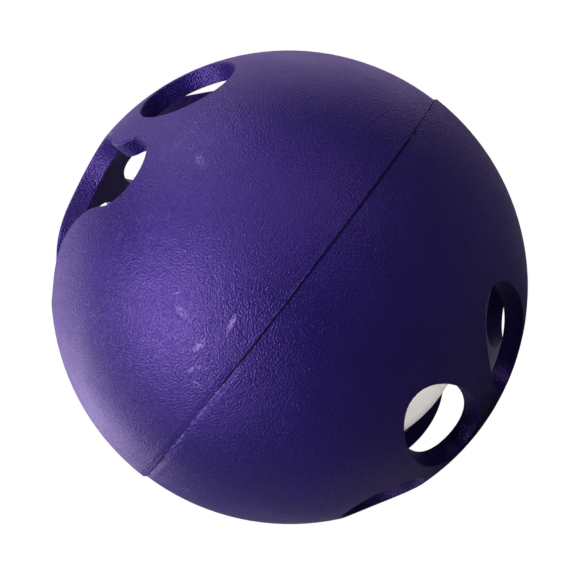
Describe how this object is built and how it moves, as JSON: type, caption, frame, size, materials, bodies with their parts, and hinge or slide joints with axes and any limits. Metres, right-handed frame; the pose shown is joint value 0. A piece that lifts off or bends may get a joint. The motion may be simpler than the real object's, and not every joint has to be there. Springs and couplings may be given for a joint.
{
  "type": "ball-in-a-ball play toy",
  "caption": "Hollow plastic ball with paw-shaped openings round both poles, joined at a seam, with a smaller loose ball rolling inside.",
  "frame": {"origin": "centre of the outer ball, halfway between the two slightly misaligned shells", "axes": "+Z through the pole of the upper shell, square to the seam; +Y the way the toes of the upper paw point; +X completes a right-handed frame"},
  "size_m": [0.1529, 0.1528, 0.1523],
  "materials": {
    "outer_plastic": "satin, fine orange-peel grain",
    "weld_plastic": "satin, irregular melt",
    "inner_plastic": "smooth, semi-matte"
  },
  "bodies": {
    "outer_ball": {"outer_shell_upper": "outer_plastic", "outer_shell_lower": "outer_plastic", "outer_seam_weld": "weld_plastic"},
    "inner_ball": {"inner_shell_upper": "inner_plastic", "inner_shell_lower": "inner_plastic", "inner_seam_weld": "inner_plastic"}
  },
  "joints": [
    {"name": "inner_ball_roll", "type": "slide", "parent": "outer_ball", "child": "inner_ball", "axis": [0.4951, -0.5696, 0.6561], "range_m": [0, 0.0461]}
  ]
}
